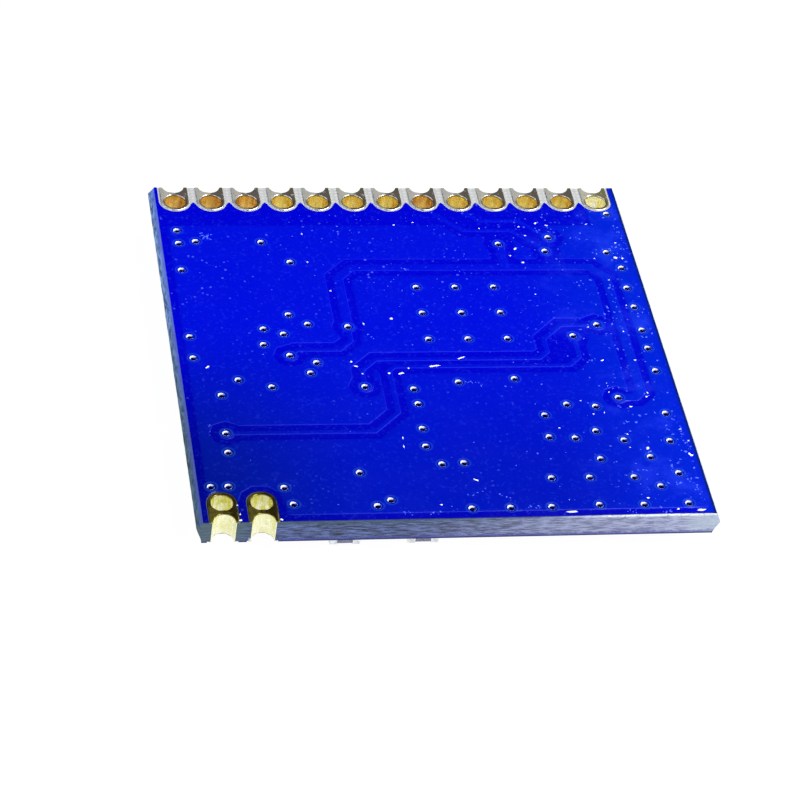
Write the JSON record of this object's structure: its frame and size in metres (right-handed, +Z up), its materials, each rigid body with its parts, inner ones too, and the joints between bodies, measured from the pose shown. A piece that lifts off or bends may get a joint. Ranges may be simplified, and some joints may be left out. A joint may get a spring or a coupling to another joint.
{
  "type": "lora radio module",
  "caption": "Radio transceiver on a thin blue circuit board with castellated, drilled edge pads; lies on its parts with the solder side up.",
  "frame": {"origin": "under the middle of the board, on the surface that the transceiver chip rests on", "axes": "+Z up out of the solder side, +Y towards the long row of edge pads, +X along that row"},
  "size_m": [0.0172, 0.017, 0.0018],
  "materials": {
    "glass_epoxy": "cut glass-epoxy laminate, weave showing at the edges",
    "solder_mask": "blue solder mask, smooth and semi-gloss",
    "plated_gold": "immersion gold over copper, slightly dull",
    "moulding": "black moulding compound, fine matt",
    "tin": "tin plate and solder, bright where it flowed",
    "nickel_lid": "nickel-plated lid, satin",
    "ceramic_case": "fired ceramic, matt",
    "capacitor_body": "fired ceramic, smooth",
    "inductor_body": "glass ceramic, smooth",
    "resistor_body": "dark glaze over alumina"
  },
  "bodies": {
    "root": {"antenna_ground_pad": "plated_gold", "antenna_pad": "plated_gold", "antenna_switch_body": "moulding", "antenna_switch_leads": "tin", "capacitor_01": "capacitor_body", "capacitor_02": "capacitor_body", "capacitor_03": "capacitor_body", "capacitor_04": "capacitor_body", "capacitor_05": "capacitor_body", "capacitor_06": "capacitor_body", "capacitor_07": "capacitor_body", "capacitor_08": "capacitor_body", "capacitor_09": "capacitor_body", "capacitor_10": "capacitor_body", "capacitor_11": "capacitor_body", "capacitor_12": "capacitor_body", "capacitor_end_caps": "tin", "crystal_base": "ceramic_case", "crystal_lid": "nickel_lid", "crystal_terminals": "tin", "edge_pad_01": "plated_gold", "edge_pad_02": "plated_gold", "edge_pad_03": "plated_gold", "edge_pad_04": "plated_gold", "edge_pad_05": "plated_gold", "edge_pad_06": "plated_gold", "edge_pad_07": "plated_gold", "edge_pad_08": "plated_gold", "edge_pad_09": "plated_gold", "edge_pad_10": "plated_gold", "edge_pad_11": "plated_gold", "edge_pad_12": "plated_gold", "edge_pad_13": "plated_gold", "inductor_01": "inductor_body", "inductor_02": "inductor_body", "inductor_03": "inductor_body", "inductor_04": "inductor_body", "inductor_05": "inductor_body", "inductor_end_caps": "tin", "laminate": "glass_epoxy", "part_side_mask": "solder_mask", "resistor_01": "resistor_body", "resistor_02": "resistor_body", "resistor_03": "resistor_body", "resistor_end_caps": "tin", "solder_joints": "tin", "solder_side_mask": "solder_mask", "transceiver_body": "moulding", "transceiver_leads": "tin"}
  },
  "joints": []
}
